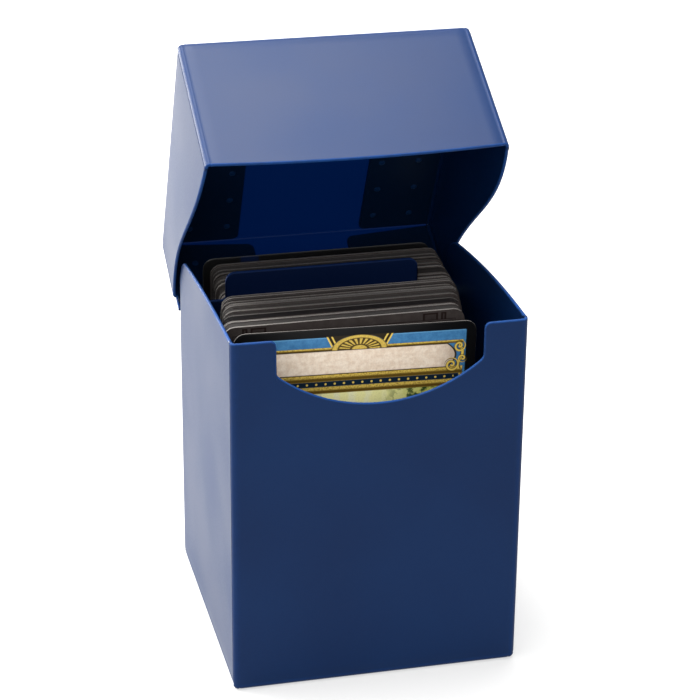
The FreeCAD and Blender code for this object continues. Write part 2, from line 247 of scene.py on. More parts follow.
def walled(outer, normal, cut, crease=None, thickness=SHEET, rounding=RIM_ROUND):
    """A closed sheet from a grid of outer points, moved in by the thickness for its inner face.

    Its rim follows half an ellipse: inwards from the outline by rounding x (1 - sin t), and
    through the sheet by thickness x (1 - cos t) / 2, for t from 0 to half a turn. cut says which
    of the four sides (first h, last q, last h, first q) are cut edges; the rest end square.
    Returns points, quads, and the cut, inside and crease strengths of each point."""
    n, m = outer.shape[:2]
    outer = outer.reshape(-1, 3).copy()
    normal = normal.reshape(-1, 3)
    inner = outer - thickness * normal
    index = np.arange(n * m).reshape(n, m)
    sides = [index[:-1, 0], index[-1, :-1], index[:0:-1, -1], index[0, :0:-1]]
    loop = np.concatenate(sides)
    weight = np.concatenate([np.full(len(s), float(c)) for s, c in zip(sides, cut)])
    starts = np.cumsum([0] + [len(s) for s in sides[:-1]])
    weight[starts] = np.minimum(cut, np.roll(cut, 1))
    edge, edge_normal = outer[loop], normal[loop]
    away = np.cross(np.roll(edge, -1, 0) - np.roll(edge, 1, 0), edge_normal)
    away /= np.maximum(np.linalg.norm(away, axis=1, keepdims=True), 1e-9)
    pull = rounding * weight[:, None] * away
    outer[loop] -= pull
    inner[loop] -= pull
    turns = np.linspace(0, math.pi, RIM_STEPS + 1)[1:-1]
    rims = [
        edge - pull * (1 - math.sin(t)) - thickness * (1 - math.cos(t)) / 2 * edge_normal
        for t in turns
    ]
    points = np.concatenate([outer, inner] + rims)
    cells = np.stack([index[:-1, :-1], index[1:, :-1], index[1:, 1:], index[:-1, 1:]], -1)
    cells = cells.reshape(-1, 4)
    quads = [cells, cells[:, ::-1] + n * m]
    rows = [loop] + [2 * n * m + k * len(loop) + np.arange(len(loop)) for k in range(len(rims))]
    rows.append(loop + n * m)
    for this, below in zip(rows, rows[1:]):
        quads.append(np.stack([this, below, np.roll(below, -1), np.roll(this, -1)], -1))
    cut_share = np.zeros(len(points))
    cut_share[loop] = weight
    cut_share[loop + n * m] = weight
    cut_share[2 * n * m :] = np.tile(weight, len(rims))
    inside = np.zeros(len(points))
    inside[n * m : 2 * n * m] = 1
    inside[2 * n * m :] = np.repeat([(1 - math.cos(t)) / 2 for t in turns], len(loop))
    folds = np.zeros(len(points))
    if crease is not None:
        flat = crease.reshape(-1)
        folds[: 2 * n * m] = np.tile(flat, 2)
        folds[2 * n * m :] = np.tile(flat[loop], len(rims))
    return points, np.concatenate(quads), {"cut": cut_share, "inside": inside, "crease": folds}


def opened(points):
    """Points of the shut lid turned about the hinge line to its open pose."""
    turned = points.copy()
    dy, dz = points[:, 1] - HINGE_Y, points[:, 2] - HINGE_Z
    c, s = math.cos(LID_OPEN), math.sin(LID_OPEN)
    turned[:, 1] = HINGE_Y + c * dy + s * dz
    turned[:, 2] = HINGE_Z - s * dy + c * dz
    return turned


def mirrored(points, faces):
    """The same surface on the other side of the middle, with its faces turned to stay outward."""
    return points * np.array([-1, 1, 1]), faces[:, ::-1]


def add_object(name, data):
    """A new object in the scene."""
    obj = bpy.data.objects.new(name, data)
    bpy.context.scene.collection.objects.link(obj)
    return obj


def add_piece(name, body, slot, nodes, material, points, faces, values, smooth=True):
    """Makes the mesh and its attributes, and hands the piece to its body and CAD nodes. The slot
    argument is not used.
    """
    mesh = bpy.data.meshes.new(name)
    faces = faces if isinstance(faces, list) else faces.tolist()
    mesh.from_pydata((points * MM).tolist(), [], faces)
    for key, value in values.items():
        kind = "FLOAT_VECTOR" if value.ndim == 2 else "FLOAT"
        layer = mesh.attributes.new(key, kind, "POINT")
        field = "vector" if value.ndim == 2 else "value"
        layer.data.foreach_set(field, value.astype(np.float32).ravel())
    if smooth:
        mesh.shade_smooth()
        mesh.set_sharp_from_angle(angle=math.radians(50))
    mesh.materials.append(material)
    mesh.update()
    obj = add_object(name, mesh)
    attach(obj, body)
    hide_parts(*nodes)


# ---------- node helpers


def linear(*rgb):
    """Screen values from 0 to 255 as a linear colour."""
    c = np.array(rgb) / 255
    c = np.where(c <= 0.04045, c / 12.92, ((c + 0.055) / 1.055) ** 2.4)
    return (*c.tolist(), 1.0)


BLACK = (0, 0, 0, 1)


class Wiring:
    """Adds nodes to one tree and returns their output sockets."""

    def __init__(self, tree):
        self.tree = tree

    def node(self, kind, **settings):
        made = self.tree.nodes.new(kind)
        for key, value in settings.items():
            setattr(made, key, value)
        return made

    def feed(self, socket, value):
        if isinstance(value, bpy.types.NodeSocket):
            self.tree.links.new(value, socket)
        else:
            socket.default_value = value

    def math(self, operation, *values):
        made = self.node("ShaderNodeMath", operation=operation)
        for socket, value in zip(made.inputs, values):
            self.feed(socket, value)
        return made.outputs[0]

    def add(self, a, b):
        return self.math("ADD", a, b)

    def less(self, a, b):
        return self.math("SUBTRACT", a, b)

    def times(self, a, b):
        return self.math("MULTIPLY", a, b)

    def length(self, a, b):
        """Length of a line with the legs a and b: the root of their squares' sum."""
        return self.math("SQRT", self.add(self.math("POWER", a, 2.0), self.math("POWER", b, 2.0)))

    def ramp(self, value, low, high, to_low=0.0, to_high=1.0):
        made = self.node("ShaderNodeMapRange", interpolation_type="SMOOTHSTEP")
        for socket, item in zip(made.inputs, (value, low, high, to_low, to_high)):
            self.feed(socket, item)
        return made.outputs[0]

    def within(self, value, low, high, soft=0.12):
        """One between low and high, and zero outside them."""
        middle, half = (low + high) / 2, (high - low) / 2
        off = self.math("ABSOLUTE", self.less(value, middle))
        return self.ramp(off, half - soft, half + soft, 1.0, 0.0)

    def mix(self, under, over, share):
        made = self.node("ShaderNodeMix", data_type="RGBA")
        self.feed(made.inputs["Factor"], share)
        self.feed(made.inputs["A"], under)
        self.feed(made.inputs["B"], over)
        return [s for s in made.outputs if s.type == "RGBA"][0]

    def noise(self, vector, scale, detail=2.0, rough=0.5):
        made = self.node("ShaderNodeTexNoise")
        self.feed(made.inputs["Vector"], vector)
        self.feed(made.inputs["Scale"], scale)
        self.feed(made.inputs["Detail"], detail)
        self.feed(made.inputs["Roughness"], rough)
        return made.outputs["Fac"]

    def attribute(self, name, output="Fac"):
        return self.node("ShaderNodeAttribute", attribute_name=name).outputs[output]

    def place(self):
        return self.node("ShaderNodeTexCoord").outputs["Object"]

    def group(self, tree, **inputs):
        made = self.node("ShaderNodeGroup", node_tree=tree)
        for key, value in inputs.items():
            self.feed(made.inputs[key], value)
        return made.outputs


def new_group(name, inputs, outputs):
    """An empty shader group with float, colour or vector sockets."""
    tree = bpy.data.node_groups.new(name, "ShaderNodeTree")
    for (label, kind), side in [(i, "INPUT") for i in inputs] + [(o, "OUTPUT") for o in outputs]:
        tree.interface.new_socket(label, in_out=side, socket_type="NodeSocket" + kind)
    wire = Wiring(tree)
    entry = wire.node("NodeGroupInput").outputs
    leave = wire.node("NodeGroupOutput").inputs
    return tree, wire, entry, leave


def new_material(name, settings):
    """A material with one Principled shader, whose constants are set on its own sockets."""
    material = bpy.data.materials.new(name)
    material.use_nodes = True
    shader = material.node_tree.nodes["Principled BSDF"]
    for key, value in settings.items():
        shader.inputs[key].default_value = value
    return material, Wiring(material.node_tree), shader


# ---------- shared effects


def sheet_grain():
    """Fine grain, a coarser pebble and slow waviness, as one height and one tone."""
    tree, wire, entry, leave = new_group(
        "sheet grain", [("Place", "Vector")], [("Height", "Float"), ("Tone", "Float")]
    )
    grain = wire.noise(entry["Place"], 2600, 2.0, 0.6)
    pebble = wire.noise(entry["Place"], 900, 2.0, 0.5)
    slow = wire.noise(entry["Place"], 28, 2.0, 0.4)
    height = wire.add(wire.times(grain, 0.35), wire.times(pebble, 0.5))
    wire.feed(leave["Height"], wire.add(height, wire.times(slow, 9.0)))
    tone = wire.add(wire.times(grain, 0.35), wire.times(slow, 0.65))
    wire.feed(leave["Tone"], wire.ramp(tone, 0.3, 0.7))
    return tree


def cut_highlight_and_crease_wear():
    """How strongly a sheet shows its cut edge, where the material paints a highlight and makes the
    sheet rougher, and a crease, both broken by noise. A crease shows little on the inner face."""
    tree, wire, entry, leave = new_group(
        "cut highlight and crease wear", [("Place", "Vector")], [("Cut", "Float"), ("Crease", "Float")]
    )
    patches = wire.ramp(wire.noise(entry["Place"], 420, 3.0, 0.6), 0.3, 0.75, 0.55, 1.0)
    wire.feed(leave["Cut"], wire.times(wire.ramp(wire.attribute("cut"), 0.05, 1.0), patches))
    outward = wire.less(1.0, wire.times(wire.attribute("inside"), 0.85))
    wire.feed(leave["Crease"], wire.times(wire.times(wire.attribute("crease"), outward), patches))
    return tree


def add_relief(wire, shader, height, strength):
    """Fine relief on a shader's surface, from a height in fiftieths of a millimetre."""
    bump = wire.node("ShaderNodeBump")
    bump.inputs["Strength"].default_value = strength
    bump.inputs["Distance"].default_value = 0.00002
    wire.feed(bump.inputs["Height"], height)
    wire.feed(shader.inputs["Normal"], bump.outputs["Normal"])


# How far a sheet's creases take their own colour and its inner face a painted shade, and how much
# rougher its worn cut edges and creases are
CREASE_TINT, INNER_SHADE_SHARE = 0.2, 0.55
CUT_DULL, CREASE_DULL = 0.4, 0.14


def sheet_material(name, base, deep, cut_highlight_colour, crease_colour, painted_glow, rough, shine=0.115):
    """Satin polypropylene: a deep blue with slow tone changes, duller where the sheet is cut and
    painted brighter there as a highlight along the rim, a little paler and duller on creases, and
    painted darker on its inner face as shade inside the box and lid. An emission may add a faint
    painted glow on the inner face, standing in for light coming through the sheet."""
    material, wire, shader = new_material(
        name,
        {
            "IOR": 1.49,
            "Specular IOR Level": shine,
            "Emission Color": BLACK,
            "Emission Strength": 1.0 if painted_glow else 0.0,
        },
    )
    place = wire.place()
    grain = wire.group(GRAIN, Place=place)
    highlight_and_wear = wire.group(HIGHLIGHT_AND_WEAR, Place=place)
    body = wire.mix(base, deep, grain["Tone"])
    body = wire.mix(body, crease_colour, wire.times(highlight_and_wear["Crease"], CREASE_TINT))
    # Painted shade: the inner face is painted darker, for the shade inside the box and lid
    body = wire.mix(body, INNER_SHADE, wire.times(wire.attribute("inside"), INNER_SHADE_SHARE))
    # Painted highlight: cut edges are painted brighter along the rim
    body = wire.mix(body, cut_highlight_colour, highlight_and_wear["Cut"])
    wire.feed(shader.inputs["Base Color"], body)
    level = wire.ramp(grain["Tone"], 0.0, 1.0, rough - 0.03, rough + 0.04)
    cut_dull, crease_dull = wire.times(highlight_and_wear["Cut"], CUT_DULL), wire.times(highlight_and_wear["Crease"], CREASE_DULL)
    level = wire.add(level, wire.math("MAXIMUM", cut_dull, crease_dull))
    wire.feed(shader.inputs["Roughness"], level)
    # Painted glow: an emission on the inner face away from cut edges, standing in for light coming
    # through the sheet
    if painted_glow:
        lit = wire.times(wire.attribute("inside"), wire.less(1.0, highlight_and_wear["Cut"]))
        wire.feed(shader.inputs["Emission Color"], wire.mix(BLACK, painted_glow, lit))
    add_relief(wire, shader, grain["Height"], 0.3)
    return material


# Card printing, in millimetres: gilt tones, the levels of the gilt bars down the card, the arch's
# middle, the pitch of the beads, and the scrolls' centres across and down, radii and pitches
GILT_LOW, GILT_HIGH, GILT_SHADOW = linear(92, 70, 22), linear(226, 194, 92), linear(50, 38, 16)
GILT_LEVELS = ((5.15, 6.0), (12.4, 14.5), (15.9, 17.8), (59.4, 60.5), (61.6, 62.6), (83.6, 84.6))
ARCH_MIDDLE = 0.9
BEAD_PITCH = 2.4
SCROLLS = ((27.2, 6.9, 1.6, 1.05), (25.3, 12.0, 1.9, 1.15), (28.1, 10.4, 1.15, 0.95))


class CardDesign:
    """Generic card printing, laid down layer by layer. Places are in millimetres: x from the card's
    middle, off to either side of it, and t down from the card's top."""

    def __init__(self, wire, card, place):
        split = wire.node("ShaderNodeSeparateXYZ")
        wire.feed(split.inputs[0], card)
        self.wire, self.place = wire, place
        self.x, self.t = split.outputs[0], split.outputs[1]
        self.off = wire.math("ABSOLUTE", self.x)
        self.fine = wire.noise(place, 2600, 2.0, 0.6)
        mottle = wire.noise(place, 700, 4.0, 0.6)
        blue = wire.mix(linear(34, 84, 132), linear(84, 146, 192), mottle)
        warm = wire.ramp(mottle, 0.3, 0.7)
        self.cream = wire.mix(linear(228, 206, 182), linear(246, 230, 210), warm)
        self.art = wire.mix(linear(11, 11, 12), blue, self.rect(-28.8, 28.8, 2.4, 85.6))

    def rect(self, low_x, high_x, low_t, high_t, soft=0.1):
        across = self.wire.within(self.x, low_x, high_x, soft)
        return self.wire.times(across, self.wire.within(self.t, low_t, high_t, soft))

    def paint(self, colour, mask):
        self.art = self.wire.mix(self.art, colour, mask)

    def picture(self):
        """Warm light from the upper left, leafy greens to the right, and low dark hills."""
        wire, x, t = self.wire, self.x, self.t
        sun = wire.length(wire.less(x, -4.0), wire.less(t, 21.0))
        leaves = wire.noise(self.place, 300, 5.0, 0.65)
        beam = wire.math("SINE", wire.add(wire.times(x, 1.5), wire.times(leaves, 5.0)))
        beams = wire.times(wire.ramp(beam, 0.1, 0.9), wire.ramp(sun, 2.0, 20.0, 0.8, 0.0))
        leafy = wire.ramp(wire.add(self.off, wire.times(t, 0.3)), 11.0, 22.0)
        sky = wire.mix(linear(255, 250, 178), linear(186, 190, 84), wire.ramp(sun, 5.0, 28.0))
        sky = wire.mix(sky, linear(252, 250, 208), beams)
        sky = wire.mix(sky, linear(46, 74, 34), wire.times(wire.ramp(leaves, 0.5, 0.6), leafy))
        hill = wire.add(wire.times(wire.math("SINE", wire.times(x, 0.16)), 2.6), 46.0)
        hill = wire.add(hill, wire.times(leaves, 8.0))
        sky = wire.mix(sky, linear(52, 62, 40), wire.ramp(wire.less(t, hill), -0.3, 0.3))
        self.paint(sky, self.rect(-27.5, 27.5, 17.6, 59.5))

    def panel(self):
        """Blank cream panel under the picture."""
        self.paint(self.cream, self.rect(-27.0, 27.0, 62.5, 83.5))

    def gilt_bars(self):
        """Frame sides, header line, mouldings and panel frame: each bar is shaded by one wave, light
        high up and darker below, inside a dark outline. Returns where they are."""
        wire = self.wire
        bars = [(self.off, 27.3, 28.2, wire.within(self.t, 13.5, 84.6))]
        width = wire.within(self.off, -28.2, 28.2)
        bars += [(self.t, low, high, width) for low, high in GILT_LEVELS]
        gilt = 0.0
        for value, low, high, reach in bars:
            mask = wire.times(wire.within(value, low, high), reach)
            outline = wire.ramp(mask, 0.2, 0.95)
            share = wire.math("DIVIDE", wire.less(value, low), high - low)
            shade = wire.ramp(wire.math("SINE", wire.times(share, math.pi * 2)), -1.0, 1.0)
            shade = wire.times(shade, wire.ramp(self.fine, 0.3, 0.62, 0.25, 1.0))
            self.paint(GILT_SHADOW, mask)
            self.paint(wire.mix(GILT_LOW, GILT_HIGH, shade), outline)
            gilt = wire.math("MAXIMUM", gilt, outline)
        return gilt

    def title_bar(self):
        """Blank cream bar with pointed ends, a shaded rim and a dark outline."""
        wire = self.wire
        mid = wire.math("ABSOLUTE", wire.less(self.t, 9.3))
        tip = wire.add(self.off, wire.times(wire.math("POWER", mid, 2.0), 0.22))
        outline = wire.times(
            wire.ramp(mid, 3.3, 3.45, 1.0, 0.0), wire.ramp(tip, 26.4, 26.6, 1.0, 0.0)
        )
        bar = wire.times(wire.ramp(mid, 3.05, 3.2, 1.0, 0.0), wire.ramp(tip, 25.9, 26.1, 1.0, 0.0))
        rim = wire.ramp(wire.math("MAXIMUM", wire.times(mid, 7.5), self.off), 20.0, 27.0, 0.0, 0.55)
        self.paint(linear(48, 40, 26), outline)
        self.paint(wire.mix(self.cream, linear(150, 126, 104), rim), bar)

    def arch(self):
        """Gilt arch in the header: flattened rings about its foot, with rays between them. Returns
        where it is."""
        wire = self.wire
        across = wire.math("DIVIDE", wire.less(self.x, ARCH_MIDDLE), 7.2)
        rise = wire.math("DIVIDE", wire.less(6.0, self.t), 3.9)
        ring = wire.length(across, rise)
        arch = wire.times(
            wire.ramp(ring, 0.99, 1.03, 1.0, 0.0), wire.ramp(self.t, 5.95, 6.05, 1.0, 0.0)
        )
        ray = wire.math("SINE", wire.times(wire.math("ARCTAN2", rise, across), 22.0))
        rays = wire.times(wire.ramp(ray, -0.25, 0.25), wire.within(ring, 0.36, 0.74, 0.03))
        rims = wire.add(wire.within(ring, 0.8, 0.98, 0.03), wire.ramp(ring, 0.24, 0.3, 1.0, 0.0))
        raised = wire.math("MINIMUM", wire.add(rims, rays), 1.0)
        gilt = wire.mix(GILT_LOW, GILT_HIGH, wire.ramp(self.fine, 0.2, 0.7, 0.45, 0.95))
        self.paint(wire.mix(linear(74, 58, 26), gilt, raised), arch)
        return arch

    def header_panels(self, arch):
        """Slanted gilt lines on both sides of the arch and a lighter rule along the top."""
        wire, t = self.wire, self.t
        clear = wire.less(1.0, arch)
        slant = wire.add(wire.math("ABSOLUTE", wire.less(self.x, ARCH_MIDDLE)), wire.times(t, 0.5))
        middle = wire.times(wire.ramp(slant, 9.7, 9.8, 1.0, 0.0), wire.within(t, 2.1, 5.2))
        self.paint(linear(40, 32, 18), wire.times(middle, clear))
        for near in (8.15, 9.35):
            line = wire.times(wire.within(slant, near, near + 0.45, 0.1), wire.within(t, 2.25, 5.2))
            self.paint(GILT_HIGH, wire.times(line, clear))
        rule = wire.times(self.rect(-28.6, 28.6, 2.35, 2.62, 0.08), wire.ramp(slant, 10.0, 10.1))
        self.paint(linear(92, 148, 190), rule)

    def beads(self):
        """Small beads along the dark strip between the mouldings."""
        wire = self.wire
        self.paint(linear(16, 34, 50), self.rect(-27.2, 27.2, 14.5, 15.9))
        share = wire.math("FRACT", wire.times(wire.add(self.x, 40.0), 1 / BEAD_PITCH))
        across = wire.times(wire.less(share, 0.5), BEAD_PITCH)
        bead = wire.ramp(wire.length(across, wire.less(self.t, 15.2)), 0.22, 0.36, 1.0, 0.0)
        self.paint(GILT_HIGH, wire.times(bead, wire.within(self.off, -26.0, 26.0)))

    def scrolls(self):
        """Gilt spirals on a wavy stem at both ends of the title bar. Each scroll has a centre, a
        radius and a pitch."""
        wire, off, t = self.wire, self.off, self.t
        wave = wire.times(wire.math("SINE", wire.times(t, 0.9)), 0.55)
        stem = wire.less(off, wire.add(27.5, wave))
        reach = wire.within(t, 5.8, 13.4)
        self.paint(GILT_SHADOW, wire.times(wire.within(stem, -0.55, 0.55), reach))
        self.paint(GILT_HIGH, wire.times(wire.within(stem, -0.33, 0.33), reach))
        for centre_x, centre_t, size, pitch in SCROLLS:
            across, down = wire.less(off, centre_x), wire.less(t, centre_t)
            gap = wire.length(across, down)
            turn = wire.times(wire.math("ARCTAN2", down, across), 1 / (2 * math.pi))
            arm = wire.math("FRACT", wire.add(wire.math("DIVIDE", gap, pitch), wire.add(turn, 1.0)))
            disc = wire.ramp(gap, size - 0.1, size + 0.1, 1.0, 0.0)
            self.paint(GILT_SHADOW, wire.times(disc, wire.within(arm, 0.12, 0.88, 0.08)))
            self.paint(GILT_HIGH, wire.times(disc, wire.within(arm, 0.28, 0.74, 0.1)))


def card_print():
    """The whole design in one group: dark border, blue header with a gilt arch, blank cream title
    bar, gilt mouldings with a beaded strip, a sunlit picture and a blank cream panel. No lettering
    and no symbols."""
    tree, wire, entry, leave = new_group(
        "card print", [("Card", "Vector"), ("Place", "Vector")],
        [("Colour", "Color"), ("Gilt", "Float")],
    )
    design = CardDesign(wire, entry["Card"], entry["Place"])
    design.picture()
    design.panel()
    bars = design.gilt_bars()
    design.title_bar()
    arch = design.arch()
    design.header_panels(arch)
    design.beads()
    design.scrolls()
    grain = wire.ramp(design.fine, 0.35, 0.8, 0.0, 0.12)
    wire.feed(leave["Colour"], wire.mix(design.art, BLACK, grain))
    wire.feed(leave["Gilt"], wire.math("MAXIMUM", bars, arch))
    return tree


def card_back():
    """Generic back of the other cards: a grey-brown field, a dark frame line, and dark brackets
    and rings near the corners and in the middle."""
    tree, wire, entry, leave = new_group(
        "card back", [("Card", "Vector"), ("Place", "Vector")], [("Colour", "Color")]
    )
    split = wire.node("ShaderNodeSeparateXYZ")
    wire.feed(split.inputs[0], entry["Card"])
    off = wire.math("ABSOLUTE", split.outputs[0])
    far = wire.math("ABSOLUTE", wire.less(split.outputs[1], CARD_HEIGHT / 2))
    mottle = wire.noise(entry["Place"], 420, 4.0, 0.65)
    field = wire.mix((0.022, 0.0175, 0.0165, 1), (0.058, 0.049, 0.046, 1), mottle)
    dark = (0.008, 0.0035, 0.003, 1)
    edge = wire.math("MAXIMUM", wire.less(off, CARD_HALF), wire.less(far, CARD_HEIGHT / 2))
    marks = [wire.within(edge, -3.3, -3.0), wire.within(edge, -2.6, -2.45)]
    down = wire.less(CARD_HEIGHT / 2, far)
    for low_x, high_x in ((25.2, 26.6), (20.4, 24.4)):
        frame_mark = wire.times(wire.within(off, low_x, high_x), wire.within(down, 0.6, 2.6))
        hollow = wire.times(wire.within(off, low_x + 0.5, high_x - 0.5), wire.within(down, 1.0, 2.6))
        marks.append(wire.less(frame_mark, wire.times(hollow, 0.7)))
    for centre_x, centre_t, size in ((22.0, 38.5, 2.6), (0.0, 0.0, 17.0), (0.0, 0.0, 12.0)):
        gap = wire.length(wire.less(off, centre_x), wire.less(far, centre_t))
        marks.append(wire.within(gap, size - 0.4, size))
        marks.append(wire.within(gap, size * 0.5, size * 0.5 + 0.3))
    for mark in marks:
        field = wire.mix(field, dark, wire.times(mark, 0.85))
    wire.feed(leave["Colour"], field)
    return tree


def card_material(name, kind, edge_low, edge_high, shine=0.35):
    """Coated card: a face by kind, a grey-brown back, and paper edges whose tone changes card by card,
    partly the cards' own edges and partly painted shade and highlight. The kinds are printed, plain
    (the back's design on both faces) and dark, whose face carries a small painted reflection."""
    material, wire, shader = new_material(name, {"IOR": 1.5, "Specular IOR Level": shine})
    place = wire.place()
    card = wire.attribute("card", "Vector")
    split = wire.node("ShaderNodeSeparateXYZ")
    wire.feed(split.inputs[0], card)
    x, t, side = split.outputs
    back = wire.group(BACK, Card=card, Place=place)["Colour"]
    grain = wire.group(GRAIN, Place=place)
    height = grain["Height"]
    face = back
    if kind == "printed":
        art = wire.group(PRINT, Card=card, Place=place)
        face = art["Colour"]
        height = wire.add(height, wire.times(art["Gilt"], 1.2))
    if kind == "dark":
        black = wire.mix((0.0025, 0.0025, 0.0028, 1), (0.005, 0.005, 0.0055, 1), grain["Tone"])
        # Painted reflection: a faint blue patch along the top edge of the dark face
        mark = wire.times(wire.within(x, -21.1, -16.2), wire.within(t, -0.5, 1.7))
        face = wire.mix(black, (0.001, 0.006, 0.03, 1), mark)
    fibre = wire.noise(place, 1800, 3.0, 0.7)
    edge = wire.mix(edge_low, edge_high, wire.attribute("tone"))
    edge = wire.mix(edge, (0.006, 0.006, 0.0065, 1), wire.ramp(fibre, 0.5, 0.75, 0.0, 0.4))
    colour = wire.mix(edge, face, wire.ramp(side, 0.45, 0.55))
    colour = wire.mix(colour, back, wire.ramp(side, -0.55, -0.45, 1.0, 0.0))
    wire.feed(shader.inputs["Base Color"], colour)
    flatness = wire.math("ABSOLUTE", side)
    wire.feed(shader.inputs["Roughness"], wire.ramp(flatness, 0.4, 0.6, 0.62, 0.36))
    add_relief(wire, shader, height, 0.25)
    return material


# ---------- box and lid panels


def level_shares(count, length):
    """Shares of the way up a panel, with one value a little inside each end."""
    return near_ends(0, 1, count, 0.55 / length)


def front_wall():
    """Front with side folds, bottom fold and thumb notch. Columns run from even places along the
    foot to even places along the top edge, which dips round the notch."""
    brow = FRONT_TOP - NOTCH_CORNER
    wide = NOTCH_HALF + NOTCH_CORNER
    ease = NOTCH_CORNER * (1 - math.sqrt(0.5))
    rise = NOTCH_BOTTOM + NOTCH_ARC - math.sqrt(NOTCH_ARC**2 - NOTCH_HALF**2)
    edge_of_flat = HALF - FOLD
    upper_corner = (-NOTCH_HALF - ease, FRONT_TOP - ease)
    low_corner = [(-NOTCH_HALF + q, rise + h) for q, h in ((0, 0.9), (0.32, 0.05), (0.85, -0.55))]
    left = chain(
        straight((-edge_of_flat, FRONT_TOP), (-wide, FRONT_TOP), 12),
        arc_through((-wide, FRONT_TOP), upper_corner, (-NOTCH_HALF, brow), 7),
        straight((-NOTCH_HALF, brow), low_corner[0], 9),
        arc_through(*low_corner, 4),
    )
    right = left[::-1] * np.array([-1, 1])
    bottom = arc_through(left[-1], (0, NOTCH_BOTTOM), right[0], 44)
    top = chain(left, bottom, right)
    length = run_length(top)
    foot_q = -edge_of_flat + 2 * edge_of_flat * length / length[-1]
    foot = np.stack([foot_q, np.full_like(foot_q, FOLD)], -1)
    side = fold_steps(edge_of_flat)[1:]
    wings = [np.stack([-side[::-1], np.full(len(side), h)], -1) for h in (FRONT_TOP, FOLD)]
    wings += [np.stack([side, np.full(len(side), h)], -1) for h in (FRONT_TOP, FOLD)]
    top = np.concatenate([wings[0], top, wings[2]])
    foot = np.concatenate([wings[1], foot, wings[3]])
    upper = between(foot, top, level_shares(26, FRONT_TOP))
    lower = carried_on(foot, FOLD - fold_steps(0)[:0:-1])
    pattern = np.concatenate([lower, upper], 1)
    outer, normal, crease = folded(
        pattern, X, Z, HALF, (-edge_of_flat, edge_of_flat), (FOLD, FAR), FRONT_BOW, "high"
    )
    return walled(outer, normal, (0, 0, 1, 0), crease)


def side_wall():
    """Right side: the top edge falls in a shallow arc to a rounded rear corner, and the rear fold
    starts below the hinge. Columns run from the foot to that line."""
    corner_end = (SIDE_REAR, SIDE_CORNER_LOW)
    top = chain(
        arc_through((SIDE_FRONT, FRONT_TOP), SIDE_TOP_MIDDLE, SIDE_CORNER, 34),
        arc_through(SIDE_CORNER, SIDE_CORNER_MIDDLE, corner_end, 16),
        straight(corner_end, (SIDE_REAR, SIDE_FOLD_TOP + 0.05), 9),
    )
    bend = fold_steps(SIDE_REAR)
    top = np.concatenate([top, np.stack([bend[1:], np.full(len(bend) - 1, SIDE_FOLD_TOP)], -1)])
    foot_q = np.linspace(SIDE_FRONT, SIDE_REAR, len(top) - len(bend) + 1)
    foot_q = np.concatenate([foot_q, bend[1:]])
    foot = np.stack([foot_q, np.full_like(foot_q, SIDE_LOW)], -1)
    upper = between(foot, top, level_shares(24, FRONT_TOP))
    lower = carried_on(foot, SIDE_LOW - fold_steps(0)[:0:-1])
    pattern = np.concatenate([lower, upper], 1)
    outer, normal, crease = folded(
        pattern, Y, Z, HALF, (-FAR, SIDE_REAR), (SIDE_LOW, FAR), SIDE_BOW, "high"
    )
    return walled(outer, normal, (0, 1, 1, 0), crease)


def plain_panel(along, up, face, q_ends, h_ends, fold=None):
    """A panel with straight sides, cut at its left and right: an even grid, with a fold added at
    its low or high end."""
    q = near_ends(*q_ends, 22)
    h = near_ends(*h_ends, 18)
    if fold == "low":
        h = np.concatenate([h_ends[0] - fold_steps(0)[:0:-1], h])
    if fold == "high":
        h = np.concatenate([h, fold_steps(h_ends[1])[1:]])
    pattern = np.stack(np.meshgrid(q, h, indexing="ij"), -1)
    h_flat = h_ends if fold else (-FAR, FAR)
    outer, normal, crease = folded(pattern, along, up, face, (-FAR, FAR), h_flat)
    return walled(outer, normal, (0, 1, 0, 1), crease)


def lid_front_wall():
    """Lid's front with folds at its sides and top; its free edge is a very shallow arc."""
    edge_of_flat = LID_SIDE - FOLD
    side = fold_steps(edge_of_flat)
    q = np.concatenate([-side[::-1], near_ends(-edge_of_flat, edge_of_flat, 30)[1:-1], side])
    place = np.where(np.abs(q) > edge_of_flat, np.sign(q) * LID_SIDE, q)
    low = LID_EDGE_MIDDLE + (LID_EDGE - LID_EDGE_MIDDLE) * (place / LID_SIDE) ** 2
    high = LID_TOP - FOLD
    foot = np.stack([q, low], -1)
    top = np.stack([q, np.full_like(q, high)], -1)
    body = between(foot, top, level_shares(20, high - LID_EDGE))
    pattern = np.concatenate([body, carried_on(top, fold_steps(high)[1:])], 1)
    outer, normal, crease = folded(
        pattern, X, Z, LID_FRONT, (-edge_of_flat, edge_of_flat), (-FAR, high), LID_BOW, "low"
    )
    return walled(outer, normal, (1, 0, 0, 0), crease)


def cheek_wall():
    """Right cheek: its lower edge is a curve with level ends, and it folds in at its top and rear."""
    front = -LID_FRONT + FOLD
    sweep = bezier(
        (front, LID_EDGE), (front + CHEEK_EASE, LID_EDGE),
        (SIDE_REAR - CHEEK_EASE, CHEEK_REAR_EDGE), (SIDE_REAR, CHEEK_REAR_EDGE), 48,
    )
    bend = fold_steps(SIDE_REAR)[1:]
    low = np.concatenate([sweep, np.stack([bend, np.full(len(bend), CHEEK_REAR_EDGE)], -1)])
    high_q = np.concatenate([np.linspace(front, SIDE_REAR, len(sweep)), bend])
    high = np.stack([high_q, np.full_like(high_q, CHEEK_TOP)], -1)
    body = between(low, high, level_shares(20, 30))
    pattern = np.concatenate([body, carried_on(high, fold_steps(CHEEK_TOP)[1:])], 1)
    outer, normal, crease = folded(
        pattern, Y, Z, LID_SIDE, (-FAR, SIDE_REAR), (-FAR, CHEEK_TOP), CHEEK_BOW, "low"
    )
    return walled(outer, normal, (1, 0, 0, 0), crease)


# ---------- loose sheets and cards


